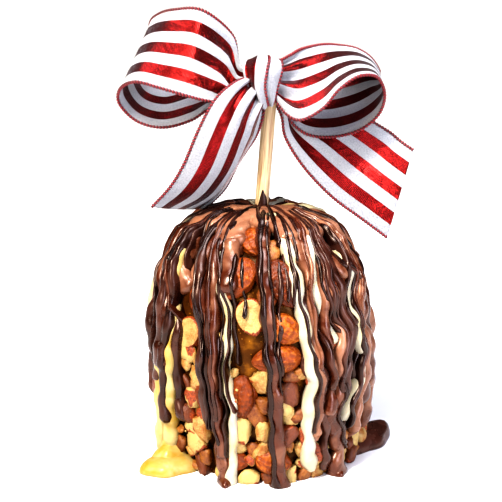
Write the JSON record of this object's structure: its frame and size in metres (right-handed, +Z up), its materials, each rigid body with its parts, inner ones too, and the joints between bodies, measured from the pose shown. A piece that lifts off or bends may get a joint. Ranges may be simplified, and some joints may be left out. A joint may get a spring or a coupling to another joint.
{
  "type": "caramel apple",
  "caption": "Gourmet caramel apple rolled in almonds and drizzled with milk, dark and white chocolate, on a wooden stick with a striped ribbon bow.",
  "frame": {"origin": "centre of the flat base, on the apple's axis", "axes": "+Z up the apple's axis towards the stick; -Y towards the front of the bow and of the apple; +X to the right of that front"},
  "size_m": [0.1279, 0.1036, 0.1951],
  "materials": {
    "chocolate_coat": "satin set chocolate over glossy caramel",
    "almond_skin": "wrinkled roasted almond skin",
    "cut_almond": "matte cut almond",
    "stick_wood": "smooth unvarnished birch",
    "ribbon": "woven satin, red and white stripes, wired edges"
  },
  "bodies": {
    "root": {"caramel_apple": "chocolate_coat", "almond_01": "almond_skin", "almond_02": "almond_skin", "almond_03": "almond_skin", "almond_04": "almond_skin", "almond_05": "almond_skin", "almond_06": "almond_skin", "almond_07": "almond_skin", "almond_08": "almond_skin", "almond_09": "almond_skin", "almond_10": "almond_skin", "almond_11": "almond_skin", "almond_12": "almond_skin", "almond_13": "almond_skin", "almond_14": "almond_skin", "almond_15": "almond_skin", "almond_16": "almond_skin", "almond_17": "almond_skin", "almond_18": "almond_skin", "almond_19": "almond_skin", "almond_20": "almond_skin", "almond_21": "almond_skin", "almond_half_01": "cut_almond", "almond_half_02": "cut_almond", "almond_half_03": "cut_almond", "almond_half_04": "cut_almond", "almond_half_05": "cut_almond", "almond_half_06": "cut_almond", "almond_half_07": "cut_almond", "almond_half_08": "cut_almond", "almond_half_09": "cut_almond", "almond_half_10": "cut_almond", "almond_half_11": "cut_almond", "stick": "stick_wood", "ribbon_bow": "ribbon"}
  },
  "joints": []
}
